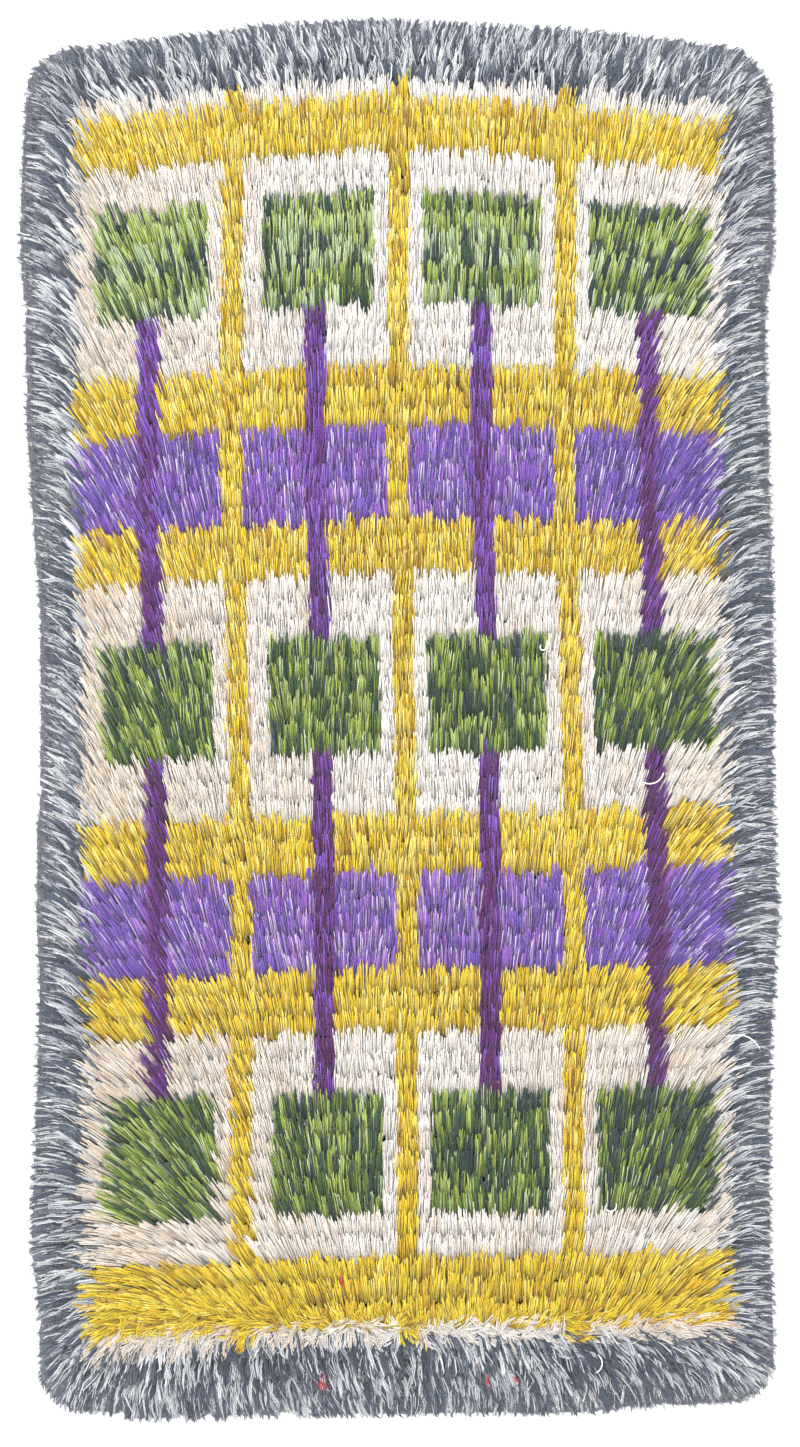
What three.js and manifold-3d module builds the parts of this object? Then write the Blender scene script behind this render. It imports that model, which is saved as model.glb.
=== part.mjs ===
// A long-pile wool rug, lying flat on the floor with its pile up.
// The whole rug is one cloth: a ground weave with knots of yarn in it. The solid is the lumpy slab that
// the pile fills, with separate locks of yarn round its rim that droop to the floor.
// Units are millimetres. X runs across the rug, Y along it, and Z up from the floor.

import * as THREE from "three";
import { mergeVertices } from "three/addons/utils/BufferGeometryUtils.js";
import Module from "manifold-3d";

// Driving dimensions.
const WIDTH = 1040; // over the tips of the pile at the two long sides
const LENGTH = 1893; // over the tips of the pile at the two ends
const PILE_HEIGHT = 27; // mean height of the pile's surface in the field
const RIM_HEIGHT = 9; // height of the slab's upright edge, where the ground weave ends
const SHOULDER = 72; // the pile rises from the rim to its full height over this distance
const RIM_SETBACK = 20; // from the slab's edge out to where most lock tips end
const CORNER_CUT = 25; // how far a rounded corner lies inside the square one, along X and along Y
const CORNER_SHARPNESS = { across: 14, along: 26 }; // the higher, the shorter the rounding
const PARTING = { y: -822, width: 30, depth: 8, reach: 330 }; // where the pile parts near the lower end

const RIM_LOCKS = 210;
const LOCK = {
  sides: 4,
  width: 26, // at the slab's edge
  inside: 24, // length of the root within the slab
  rootBottom: 3,
  rootTop: 8,
  edgeTop: 11,
  droopTop: 6,
  droopAt: 0.55, // share of the free length where the lock has come down
  droopWidth: 0.72, // share of its width there
};
const REACH = { least: 0.75, spread: 0.55, strayEvery: 11, stray: 0.35 }; // free length, as shares of the setback
const LARGEST_TURN = 48; // degrees that a rim lock may lean away from the edge's own normal

// The uneven outline over the lock tips: how far each long side stands from the middle, up the rug.
const SIDES = [
  { y: -946, left: -492, right: 503 },
  { y: -830, left: -492, right: 505 },
  { y: -690, left: -503, right: 500 },
  { y: -570, left: -500, right: 500 },
  { y: -450, left: -496, right: 502 },
  { y: -350, left: -492, right: 506 },
  { y: -270, left: -496, right: 513 },
  { y: -180, left: -494, right: 508 },
  { y: -80, left: -492, right: 504 },
  { y: 20, left: -490, right: 505 },
  { y: 120, left: -490, right: 505 },
  { y: 220, left: -497, right: 503 },
  { y: 320, left: -504, right: 500 },
  { y: 420, left: -510, right: 497 },
  { y: 490, left: -511, right: 494 },
  { y: 560, left: -512, right: 494 },
  { y: 630, left: -519, right: 504 },
  { y: 720, left: -516, right: 505 },
  { y: 850, left: -509, right: 502 },
  { y: 946, left: -500, right: 498 },
];

// And how far each end stands from the middle, across the rug.
const ENDS = [
  { x: -520, bottom: -914, top: 893 },
  { x: -430, bottom: -929, top: 903 },
  { x: -340, bottom: -940, top: 914 },
  { x: -260, bottom: -941, top: 923 },
  { x: -190, bottom: -936, top: 936 },
  { x: -30, bottom: -934, top: 941 },
  { x: 90, bottom: -932, top: 935 },
  { x: 205, bottom: -932, top: 930 },
  { x: 350, bottom: -924, top: 917 },
  { x: 430, bottom: -917, top: 904 },
  { x: 520, bottom: -908, top: 884 },
];

// The lay of the pile up the rug: degrees between the locks at either side and straight up.
const LAY = [
  { y: -946, fan: 102 },
  { y: -760, fan: 92 },
  { y: -570, fan: 80 },
  { y: -190, fan: 67 },
  { y: 190, fan: 57 },
  { y: 570, fan: 46 },
  { y: 946, fan: 38 },
];
const FAN_POWER = 1.7; // how late the fan opens towards the sides
const BELOW_PARTING = 55; // degrees by which the locks under the parting spread from straight down

// Slow waves that make the pile lumpy: wavelengths across and along, phase and height.
const LUMPS = [
  { across: 371, along: 620, phase: 0.4, height: 1.1 },
  { across: -283, along: 216, phase: 2.1, height: 1.1 },
  { across: 196, along: 318, phase: 4.4, height: 0.9 },
];
const CLUMP = 3.4; // how far single clumps of locks stand over or under the waves

// Grid lines of the slab's top: close together over the shoulder, then about this far apart.
const SHOULDER_LINES = [0, 20, 50];
const FIELD_STEP = 44;
const FLATNESS = 0.02; // faces this close to one plane are merged

const WOOL = new THREE.MeshStandardMaterial({ color: 0xcfc4b2, roughness: 0.95, metalness: 0 });

const HALF_WIDTH = WIDTH / 2;
const HALF_LENGTH = LENGTH / 2;

// The value of a table's column at a place between its rows, eased so that the line has no corners.
function between(table, key, column, at) {
  const last = table.length - 1;
  if (at <= table[0][key]) return table[0][column];
  if (at >= table[last][key]) return table[last][column];
  const i = table.findIndex((row) => row[key] > at);
  const [a, b] = [table[i - 1], table[i]];
  const share = THREE.MathUtils.smoothstep(at, a[key], b[key]);
  return THREE.MathUtils.lerp(a[column], b[column], share);
}

// A repeatable number from 0 to 1 for lock i and use k.
function chance(i, k) {
  const s = Math.sin(i * 12.9898 + k * 78.233 + 3.1) * 43758.5453;
  return s - Math.floor(s);
}

// A point of the square from -1 to 1, carried to the rug's outline, inset from the lock tips.
function onRug(a, b, inset) {
  const { across, along } = CORNER_SHARPNESS;
  const corner = Math.abs(a) ** across * Math.abs(b) ** along * CORNER_CUT;
  const u = a * (1 - (corner + inset) / HALF_WIDTH);
  const v = b * (1 - (corner + inset) / HALF_LENGTH);
  const x = THREE.MathUtils.lerp(
    between(SIDES, "y", "left", v * HALF_LENGTH),
    between(SIDES, "y", "right", v * HALF_LENGTH),
    (u + 1) / 2,
  );
  const y = THREE.MathUtils.lerp(
    between(ENDS, "x", "bottom", u * HALF_WIDTH),
    between(ENDS, "x", "top", u * HALF_WIDTH),
    (v + 1) / 2,
  );
  return new THREE.Vector2(x, y);
}

function lump(x, y) {
  return LUMPS.reduce(
    (sum, w) => sum + w.height * Math.sin(2 * Math.PI * (x / w.across + y / w.along) + w.phase),
    CLUMP * (2 * chance(Math.round(x), Math.round(y)) - 1),
  );
}

// Height of the pile at a place that lies so far in from the slab's edge.
function pileHeight(x, y, fromEdge) {
  const rise = Math.sin((Math.PI / 2) * Math.min(1, fromEdge / SHOULDER));
  const open = THREE.MathUtils.smoothstep(PARTING.reach - Math.abs(x), 0, 120);
  const trough = PARTING.depth * open * Math.exp(-(((y - PARTING.y) / PARTING.width) ** 2));
  return RIM_HEIGHT + (PILE_HEIGHT - RIM_HEIGHT) * rise + rise * (lump(x, y) - trough);
}

// The way the pile lies, as a unit vector: up the rug, fanned out at the sides, and down past the parting.
function layAt(x, y) {
  const share = Math.min(1, Math.abs(x) / HALF_WIDTH) ** FAN_POWER;
  const degrees =
    y < PARTING.y ? 180 - BELOW_PARTING * share : between(LAY, "y", "fan", y) * share;
  const angle = THREE.MathUtils.degToRad(degrees) * Math.sign(x);
  return new THREE.Vector2(Math.sin(angle), Math.cos(angle));
}

// Places from 0 to 1 across a size, with the shoulder's lines at both ends and even steps between.
function gridLines(size) {
  const near = SHOULDER_LINES.map((d) => d / size);
  const start = near[near.length - 1];
  const steps = Math.round(((1 - 2 * start) * size) / FIELD_STEP);
  const field = Array.from({ length: steps - 1 }, (_, i) => start + ((1 - 2 * start) * (i + 1)) / steps);
  return [...near, ...field, ...near.map((d) => 1 - d).reverse()];
}

// Geometry with its shared vertices merged, as a solid that can be joined.
function solidOf(wasm, geometry) {
  geometry.deleteAttribute("normal");
  geometry.deleteAttribute("uv");
  const merged = mergeVertices(geometry, 1e-4);
  return new wasm.Manifold(
    new wasm.Mesh({
      numProp: 3,
      vertProperties: new Float32Array(merged.attributes.position.array),
      triVerts: new Uint32Array(merged.index.array),
    }),
  );
}

function geometryOf(solid) {
  const mesh = solid.getMesh();
  const geometry = new THREE.BufferGeometry();
  geometry.setAttribute("position", new THREE.BufferAttribute(new Float32Array(mesh.vertProperties), 3));
  geometry.setIndex(new THREE.BufferAttribute(new Uint32Array(mesh.triVerts), 1));
  geometry.computeVertexNormals();
  return geometry;
}

// The slab: a box with a gridded top, carried to the outline, its underside flat and its top lumpy.
function slabGeometry() {
  const across = gridLines(WIDTH);
  const along = gridLines(LENGTH);
  const columns = across.length - 1;
  const rows = along.length - 1;
  const box = new THREE.BoxGeometry(columns, rows, 1, columns, rows, 1);
  const place = box.getAttribute("position");
  for (let i = 0; i < place.count; i++) {
    const a = across[Math.round(place.getX(i) + columns / 2)] * 2 - 1;
    const b = along[Math.round(place.getY(i) + rows / 2)] * 2 - 1;
    const spot = onRug(a, b, RIM_SETBACK);
    const fromEdge = Math.min((1 - Math.abs(a)) * HALF_WIDTH, (1 - Math.abs(b)) * HALF_LENGTH);
    const z = place.getZ(i) > 0 ? pileHeight(spot.x, spot.y, fromEdge) : 0;
    place.setXYZ(i, spot.x, spot.y, z);
  }
  return box;
}

// The place on the unit square's edge that is so many millimetres round from its lower left corner.
function roundTheEdge(distance) {
  const legs = [
    { length: WIDTH, from: [-1, -1], to: [1, -1] },
    { length: LENGTH, from: [1, -1], to: [1, 1] },
    { length: WIDTH, from: [1, 1], to: [-1, 1] },
    { length: LENGTH, from: [-1, 1], to: [-1, -1] },
  ];
  let left = distance % (2 * (WIDTH + LENGTH));
  for (const leg of legs) {
    if (left <= leg.length)
      return leg.from.map((c, k) => THREE.MathUtils.lerp(c, leg.to[k], left / leg.length));
    left -= leg.length;
  }
  return legs[0].from;
}

// The direction of a rim lock: the lay of the pile, turned to within a limit of straight out.
function rimDirection(spot, outward) {
  const lay = layAt(spot.x, spot.y);
  const turn = Math.atan2(outward.x * lay.y - outward.y * lay.x, outward.dot(lay));
  const limit = THREE.MathUtils.degToRad(LARGEST_TURN);
  const held = THREE.MathUtils.clamp(turn, -limit, limit) * 0.6;
  return outward.clone().rotateAround(new THREE.Vector2(), held);
}

// One rim lock: a four-sided cone whose root is in the slab and whose free end lies on the floor.
function lockGeometry(i) {
  const pitch = (2 * (WIDTH + LENGTH)) / RIM_LOCKS;
  const distance = (i + 0.5 + 0.4 * (chance(i, 1) - 0.5)) * pitch;
  const spot = onRug(...roundTheEdge(distance), RIM_SETBACK);
  const before = onRug(...roundTheEdge(distance + 2 * (WIDTH + LENGTH) - 6), RIM_SETBACK);
  const after = onRug(...roundTheEdge(distance + 6), RIM_SETBACK);
  const outward = new THREE.Vector2(after.y - before.y, before.x - after.x).normalize();
  const direction = rimDirection(spot, outward);
  const side = new THREE.Vector2(-direction.y, direction.x);
  const stray = i % REACH.strayEvery === 0 ? REACH.stray : 0;
  const reach = (REACH.least + REACH.spread * chance(i, 2) + stray) * RIM_SETBACK;
  const free = reach / direction.dot(outward);
  const width = LOCK.width * (0.8 + 0.4 * chance(i, 3));
  const levels = [
    { along: -LOCK.inside, half: width / 2, bottom: LOCK.rootBottom, top: LOCK.rootTop },
    { along: 3, half: width / 2, bottom: 0, top: LOCK.edgeTop },
    {
      along: free * LOCK.droopAt,
      half: (width / 2) * LOCK.droopWidth,
      bottom: 0,
      top: LOCK.droopTop,
    },
    { along: free, half: 0, bottom: 0, top: 0 },
  ];
  const last = levels.length - 1;
  const cone = new THREE.ConeGeometry(1, last, LOCK.sides, last, false, Math.PI / LOCK.sides);
  const place = cone.getAttribute("position");
  for (let k = 0; k < place.count; k++) {
    const level = levels[Math.round(place.getY(k) + last / 2)];
    const centre = Math.abs(place.getX(k)) < 1e-6 && Math.abs(place.getZ(k)) < 1e-6;
    const across = centre ? 0 : Math.sign(place.getX(k)) * level.half;
    const z = centre ? (level.bottom + level.top) / 2 : place.getZ(k) > 0 ? level.bottom : level.top;
    const x = spot.x + direction.x * level.along + side.x * across;
    const y = spot.y + direction.y * level.along + side.y * across;
    place.setXYZ(k, x, y, z);
  }
  return cone;
}

// Joins the slab and its rim locks, and sets the middle of their outline over the origin.
async function rugGeometry() {
  const wasm = await Module();
  wasm.setup();
  const locks = Array.from({ length: RIM_LOCKS }, (_, i) => solidOf(wasm, lockGeometry(i)));
  const whole = wasm.Manifold.union([solidOf(wasm, slabGeometry()), ...locks]);
  const { min, max } = whole.boundingBox();
  return geometryOf(whole.simplify(FLATNESS).translate([-(min[0] + max[0]) / 2, -(min[1] + max[1]) / 2, -min[2]]));
}

const pileRug = new THREE.Mesh(await rugGeometry(), WOOL);
pileRug.name = "pile_rug";

const rug = new THREE.Group();
rug.add(pileRug);

export default rug;
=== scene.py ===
# The looks of a long-pile wool rug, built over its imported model.
# The pile is separate strands of yarn, gathered in locks and knotted row by row into a ground weave.
# Tables and pile sizes are in millimetres; the meshes and the stage are in metres. X runs across the rug,
# Y along it.

import math

import bpy
import numpy as np
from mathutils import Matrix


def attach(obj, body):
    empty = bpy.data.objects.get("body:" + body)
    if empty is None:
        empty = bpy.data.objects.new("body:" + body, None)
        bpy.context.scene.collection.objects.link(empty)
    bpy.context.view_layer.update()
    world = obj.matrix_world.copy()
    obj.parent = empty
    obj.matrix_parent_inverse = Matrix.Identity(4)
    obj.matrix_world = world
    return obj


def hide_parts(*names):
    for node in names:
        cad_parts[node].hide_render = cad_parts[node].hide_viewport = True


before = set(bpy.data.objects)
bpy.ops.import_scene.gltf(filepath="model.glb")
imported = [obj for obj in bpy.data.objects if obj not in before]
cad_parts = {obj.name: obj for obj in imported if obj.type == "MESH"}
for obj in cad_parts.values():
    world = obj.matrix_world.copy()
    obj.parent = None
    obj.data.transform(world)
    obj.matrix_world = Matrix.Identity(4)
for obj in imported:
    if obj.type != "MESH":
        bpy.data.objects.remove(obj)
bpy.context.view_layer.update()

MM = 0.001
SEED = 7
rng = np.random.default_rng(SEED)
TINY = 1e-6  # keeps a length that is divided by from being nothing


def named_rows(names, *rows):
    """A table: the names of its columns, then its rows."""
    return [dict(zip(names, row)) for row in rows]


# The rug's outline over the tips of its pile, from its middle, before it is centred on the origin.
CENTRING = {"x": 4.43, "y": 1.95}
SIDES = named_rows(
    ("y", "left", "right"),
    (-946, -492, 503),
    (-830, -492, 505),
    (-690, -503, 500),
    (-570, -500, 500),
    (-450, -496, 502),
    (-350, -492, 506),
    (-270, -496, 513),
    (-180, -494, 508),
    (-80, -492, 504),
    (20, -490, 505),
    (120, -490, 505),
    (220, -497, 503),
    (320, -504, 500),
    (420, -510, 497),
    (490, -511, 494),
    (560, -512, 494),
    (630, -519, 504),
    (720, -516, 505),
    (850, -509, 502),
    (946, -500, 498),
)
ENDS = named_rows(
    ("x", "bottom", "top"),
    (-520, -914, 893),
    (-430, -929, 903),
    (-340, -940, 914),
    (-260, -941, 923),
    (-190, -936, 936),
    (-30, -934, 941),
    (90, -932, 935),
    (205, -932, 930),
    (350, -924, 917),
    (430, -917, 904),
    (520, -908, 884),
)
HALF_WIDTH = 508
HALF_LENGTH = 935
CORNER_RADIUS = 52
EDGE_STEP = 2.0  # over which the way to the nearest edge is measured
SLAB_INSET = 20  # from the outline in to the full rim height
GROUND_INSET = 30  # from the outline in to the ground weave's edge
GROUND_THICKNESS = 5.0  # with the heads of the knots

# Height of the pile's surface: low at the rim, full after the shoulder, lower where the pile parts.
RIM_HEIGHT = 9
PILE_HEIGHT = 27
SHOULDER = 72
TIP_HEIGHT = 2.5
PARTING = {"y": -814, "width": 26, "depth": 3, "reach": 330, "fade": 120}
LUMPS = [{"height": 1.6, "length": 230, "phase": 0.7}, {"height": 1.4, "length": 90, "phase": 2.9}]
# A slow uneven wave is the sum of even ones that run in different directions.
WAVES = named_rows(
    ("across", "along", "rate", "phase", "ahead"),
    (0.83, 0.55, 1.0, 1.0, 0),
    (-0.61, 0.91, 1.37, 2.3, 1),
    (0.97, -0.24, 1.83, 3.7, 2),
)
WAVES_TOP = 2.2  # about the highest that their sum comes

# The bands of the pattern from the top of the field down, as seen on the pile's surface.
FIELD_TOP = 857
BANDS = named_rows(
    ("depth", "band"),
    (27, "cream"),
    (67, "yellow"),
    (58, "cream"),
    (148, "squares"),
    (82, "cream"),
    (81, "yellow"),
    (125, "violet"),
    (71, "yellow"),
    (86, "cream"),
    (155, "squares"),
    (84, "cream"),
    (76, "yellow"),
    (129, "violet"),
    (83, "yellow"),
    (81, "cream"),
    (162, "squares"),
    (56, "cream"),
    (85, "yellow"),
    (24, "cream"),
)
FIELD_HALF = 430
COLUMN_PITCH = 222
# Knots of a square on either side of its middle one, in the rug's left and right halves.
SQUARE = {"before_left": 7, "before_right": 8, "after": 8}
# Shades of the squares' locks and how many are dark: for each row of knots of the first squares, and
# for all the others.
FIRST_SQUARES = named_rows(
    ("dark_share", "dark", "light"),
    (0.5, 0.14, 0.62),
    (0.08, 0.4, 0.7),
    (0.42, 0.03, 0.8),
    (0.42, 0.06, 0.88),
    (0.2, 0.2, 0.62),
    (0.45, 0.2, 0.86),
)
SQUARES = {"dark_share": 0.46, "dark": 0.17, "light": 0.56}
SQUARES_SPREAD = 0.22  # of shade, from lock to lock
YELLOW_BAR = {"width": 28, "at": (-1, 0, 1)}
PLUM_BAR = {"width": 26}

# How the cloth lies off square: the columns wander, and the bands sag towards both sides.
COLUMN_SHIFT = named_rows(
    ("y", "x"),
    (-830, 12),
    (-680, 7),
    (-400, 7),
    (-280, 8),
    (-90, 5),
    (150, 1),
    (330, -5),
    (620, -5),
    (860, -2),
)
SAG = named_rows(
    ("y", "left", "right"),
    (-830, 22, -6),
    (-600, 13, -8),
    (-330, 15, -6),
    (-130, 17, -13),
    (110, 22, 0),
    (240, 26, 8),
    (400, 28, 14),
    (560, 34, 24),
    (860, 36, 38),
)
SAG_POWER = 1.3

# The lay of the pile: degrees from straight up the rug to the locks at either side, and how late they turn.
LAY = named_rows(
    ("y", "left", "left_power", "right", "right_power"),
    (-946, 120, 1.1, 105, 2.5),
    (-706, 112, 1.3, 100, 3.0),
    (-560, 86, 1.8, 95, 5.0),
    (-370, 64, 1.7, 90, 2.8),
    (-180, 50, 2.0, 88, 3.4),
    (29, 52, 2.6, 84, 4.0),
    (280, 58, 2.9, 75, 3.3),
    (590, 54, 2.6, 72, 3.0),
    (740, 52, 2.8, 54, 3.5),
    (946, 40, 0.8, 32, 1.0),
)
# Below the parting they point down the rug: degrees towards +X half way across, and out at either side.
BELOW_PARTING = {"middle": 12, "left": 60, "left_power": 3, "right": 55}
LAY_TURN = {"middle": 12, "sides": 75}  # half the width over which the lay turns at the parting
LAY_WAVES = {"length": 150, "turn": 4, "phase": 4.1}
# Where the pile parts, the locks stand up and turn about, and more knots show from this share of it on.
TOUSLED = {"width": 40, "turn": 30, "reach": 0.55, "lock_turn": 10, "bow": 2, "more_knots": 0.01}

# Rows of knots, the locks of each knot and the strands of each lock.
ROW_PITCH = 26  # nearly: every band has whole rows
KNOTS_IN_COLUMN = 24
KNOT_PITCH = COLUMN_PITCH / KNOTS_IN_COLUMN
# In from the outline to the middle of what shows of the outermost locks.
EDGE_OF_KNOTS = {"sides": 8, "ends": 3}
RIM_BAND = 40  # between the rows there are more knots this far in from the outline
RIM_TURN = {"share": 0.4, "within": 60}  # how far the locks turn straight outward, this near the outline
LOCKS_PER_KNOT = 2
# How far knots, locks and strands stray: in shares of the pitch, in millimetres or in degrees.
KNOT_STRAY = {"across": 0.12, "along": 0.06, "turn": 1.5}
LOCK_STRAY = {"across_mm": 0.5, "along": 0.15, "turn": 1.5}
STRAND_STRAY = {"root_across": 0.5, "root_along": 4, "tip_across": 1.6, "reach": 2.5, "lift": 0.5}
STRANDS_SPREAD = 1.15  # of a lock's strands, as a share of the room that it has
REACH = {"middle": 43, "sides": 12, "spread": 0.06, "least": 14}
TIPS_END = {"sides": 0, "ends": -4, "spread": 1.2}  # where rim tips stop, in from the outline
STRAY_TIPS = {"share": 0.012, "beyond": 8}  # the few that pass it
VISIBLE_MIDDLE = 0.68  # along a strand, the middle of what shows of it
TOWARDS_EDGE = 0.4  # the least of its run by which a tip past the outline is taken to point at the edge
# A body's tone is that of each lock's body under the strands, kept low for every wool but cream as painted
# shade in the gaps.
YARNS = named_rows(
    ("wool", "gather", "lift", "bow", "wave", "curl", "body"),
    ("cream", 0.0, 0.3, 1.0, 0.0, 0.0, 0.8),
    ("yellow", 0.1, 0.4, 1.2, 0.0, 0.0, 0.2),
    ("green", 0.2, 0.5, 1.6, 0.0, 0.0, 0.16),
    ("violet", 0.05, 0.3, 1.0, 0.0, 0.0, 0.25),
    ("plum", 0.05, 0.3, 1.0, 0.0, 0.0, 0.3),
    ("slate", 0.5, 1.2, 2.6, 2.8, 5.0, 0.12),
)
# How each wool's shade varies from strand to strand and from lock to lock, and how it changes over the rug.
DYES = named_rows(
    ("wool", "mixed", "by_lock", "to_top", "to_right", "to_sides"),
    ("cream", 0.1, 0.16, 0.12, 0.14, -0.5),
    ("yellow", 0.24, 0.3, 0.0, 0.0, 0.0),
    ("green", 0.2, 0.0, 0.0, -0.08, -0.1),
    ("violet", 0.26, 0.3, -0.1, -0.08, -0.3),
    ("plum", 0.45, 0.6, 0.4, -0.1, -0.25),
    ("slate", 0.1, 0.0, 0.0, 0.0, 0.0),
)
# Shares of the darkest and the palest strands, at the lower end of the rug and above it.
ODD_STRANDS = named_rows(
    ("wool", "dark_low", "dark", "pale_low", "pale"),
    ("cream", 0.05, 0.05, 0.1, 0.1),
    ("yellow", 0.12, 0.23, 0.01, 0.24),
    ("green", 0.08, 0.08, 0.05, 0.05),
    ("violet", 0.2, 0.2, 0.13, 0.13),
    ("plum", 0.2, 0.2, 0.04, 0.04),
    ("slate", 0.1, 0.1, 0.08, 0.08),
)
ODD_RANGE = 0.12  # how far the darkest and the palest strands reach into the range of colours
# The shade changes from patch to patch, and half of the locks have the shade of their knot.
PATCHES = {"length": 74, "phase": 1.9, "on_pick": 0.08, "on_tone": 0.1}
SAME_AS_KNOT = 0.5
MIDDLE_TONE = 0.5
SLATE_LOCKS = {"dark_share": 0.5, "dark_to": 0.3, "light_from": 0.6, "light_range": 0.4}
WOOLS = tuple(yarn["wool"] for yarn in YARNS)

# Each wool's colours as they are seen, from its darkest tone at 0 to its palest at 1.
PALETTES = {
    "cream": [(0.0, (226, 203, 180)), (0.4, (250, 241, 230)), (1.0, (254, 252, 248))],
    "yellow": [(0.0, (170, 125, 26)), (0.3, (234, 186, 20)), (0.65, (250, 218, 48)), (1.0, (250, 232, 136))],
    "green": [
        (0.0, (44, 58, 68)),
        (0.15, (38, 72, 40)),
        (0.32, (84, 113, 44)),
        (0.58, (148, 167, 58)),
        (0.75, (184, 204, 116)),
        (0.88, (166, 196, 158)),
        (1.0, (206, 218, 166)),
    ],
    "violet": [(0.0, (86, 54, 148)), (0.35, (120, 82, 192)), (0.65, (154, 92, 190)), (1.0, (224, 210, 240))],
    "plum": [(0.0, (84, 30, 84)), (0.5, (106, 50, 142)), (1.0, (138, 98, 214))],
    "slate": [(0.0, (54, 64, 82)), (0.3, (87, 97, 115)), (0.6, (164, 169, 180)), (1.0, (228, 229, 233))],
}
# How dark the yarn is painted at its root, as painted shade deep in the pile, how much the strands differ in
# shade, and their sheen.
SHADES = {
    "cream": {"root": 0.93, "own": 0.06, "sheen": 0.3},
    "yellow": {"root": 0.7, "own": 0.16, "sheen": 0.2},
    "green": {"root": 0.62, "own": 0.22, "sheen": 0.2},
    "violet": {"root": 0.75, "own": 0.38, "sheen": 0.3},
    "plum": {"root": 0.8, "own": 0.3, "sheen": 0.2},
    "slate": {"root": 0.65, "own": 0.3, "sheen": 0.3},
}

# A strand in the field and in the border and, under the strands of each knot, the body of its lock: places
# of their rings along them, and how far under the pile's surface each ring lies.
STRAND = {
    "sides": 3,
    "first_corner": 0.25,
    "levels": (0.18, 0.93, 1.0),
    "under": (4.4, 0.5, 0.2),
    "thickness": (1.0, 1.0),
    "plies": 1,
    "turns": 13,
    "in_a_lock": 5,
    "width": {"mean": 2.0, "spread": 0.2, "least": 1.5, "most": 2.6},
}
BORDER_STRAND = {
    "sides": 3,
    "first_corner": 0.25,
    "levels": (0.15, 0.48, 0.84, 1.0),
    "under": (4.6, 2.0, 0.6, 0.5),
    "thickness": (1.0, 1.1, 0.9),
    "plies": 1,
    "turns": 13,
    "in_a_lock": 3,
    "width": {"mean": 2.8, "spread": 0.4, "least": 2.0, "most": 3.6},
}
BODY = {
    "sides": 3,
    "first_corner": 1 / 12,
    "levels": (0.25, 0.85, 1.0),
    "under": (8.0, 5.4, 5.6),
    "thickness": (0.9, 0.95),
    "plies": 5,
    "turns": 4,
}
BODY_WIDTH = {"along": 19, "sideways": 34}
BODY_HEIGHT = 6
BODY_SHORTER = 6  # than the strands
LOWEST = 1.3  # no ring's middle lies lower over the floor
LEAST_DEPTH = 0.1  # of a ring under the surface at the rim, as a share of its depth under the full pile
LEAST_BODY = 0.3  # height of a body at the rim, as a share of the full one
BODY_PAINTED_SHADE = 0.5  # the bodies keep to the darker part of their wool's shades, as painted shade under the strands
TRIANGLES_IN_A_PIECE = 190000

# Each tube's own cell of the unit square: how much of it the skin fills, and its length for its width.
CELL = {"left": 0.1, "width": 0.8, "bottom": 0.05, "height": 0.9, "aspect": 3}
CELL_ROWS = {"strands": (0.0, 0.88), "bodies": (0.88, 0.99), "loose": (0.99, 1.0)}

# Small red stains, and long yarns that have come loose and lie in an arc on the pile: places on the rug.
STAINS = named_rows(
    ("x", "y", "radius"),
    (-102, -882, 10),
    (113, -882, 7),
    (151, -882, 6),
    (189, -399, 5),
    (-82, -747, 5),
    (-82, -776, 5),
)
STAIN_COLOR = (206, 62, 66)
STAINED = 2  # marks a stained strand in place of its shade, which is from 0 to 1
STAIN_SPOT = {"full": 0.08, "none": 0.2}  # how far the stain runs along the strand from its middle
LOOSE_YARNS = named_rows(
    ("x", "y", "radius", "from", "to"),
    (330, -66, 19, 235, 360),
    (188, 97, 4, 100, 400),
    (278, -647, 8, 200, 390),
    (447, -455, 35, 12, 130),
    (252, -858, 15, -70, 60),
)
LOOSE_RINGS = 14
LOOSE_YARN = {
    "sides": 5,
    "first_corner": 0.0,
    "levels": tuple(np.linspace(0, 1, LOOSE_RINGS + 1)),
    "thickness": (1.0,) * LOOSE_RINGS,
    "plies": 2,
    "turns": 12,
    "width": 2.0,
    "over": 1.0,
    "ends_down": 5,
    "ends_power": 6,
    "tone": 0.8,
}

# Yarn: patches of shade over the rug, plies and stray fibres, and where along a strand the painted shade at
# the root ends.
YARN = {
    "patch_scale": 9.0,
    "patch": 0.35,
    "fibre_scale": 900.0,
    "fibre_detail": 1.0,
    "root_shade_from": 0.3,
    "root_shade_to": 0.85,
    # Painted shade: the colour is lighter on each ply and darker in the groove between plies.
    "ply": 0.12,
    "ply_shade_base": 0.93,
    "own_base": 0.97,
    "fibre": 0.4,
    "fibre_base": 0.8,
    "fibre_height": 1.6,
    "bump": 0.6,
    "bump_height": 0.0004,
}
WOOL_SURFACE = {
    "Roughness": 0.88,
    "Specular IOR Level": 0.25,
    "Sheen Roughness": 0.55,
    "Subsurface Weight": 0.7,
    "Subsurface Radius": (1.0, 1.0, 1.0),
    "Subsurface Scale": 0.004,
}
# Weave: ribs and warps as shares of the pitches, their depth of shade, the darkening of the whole ground as
# painted shade under the pile, and its grain.
WEAVE = {
    "rib": 0.25,
    "warp": 0.5,
    "woven": 0.12,
    "base": 0.62,
    "grain_scale": 420.0,
    "grain": 0.2,
    "bump": 0.7,
    "bump_height": 0.0008,
}
WEAVE_SURFACE = {"Roughness": 0.92, "Specular IOR Level": 0.2}
DETAIL = 2.0  # of a noise
MIX = {"color": 6, "other": 7, "result": 2}  # a mix node's sockets for colours

# Steps to find a place on the cloth or the ground weave, and how near its corners the ground is pulled in.
STEPS = 4
CORNER_POWER = {"across": 14, "along": 26}

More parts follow.
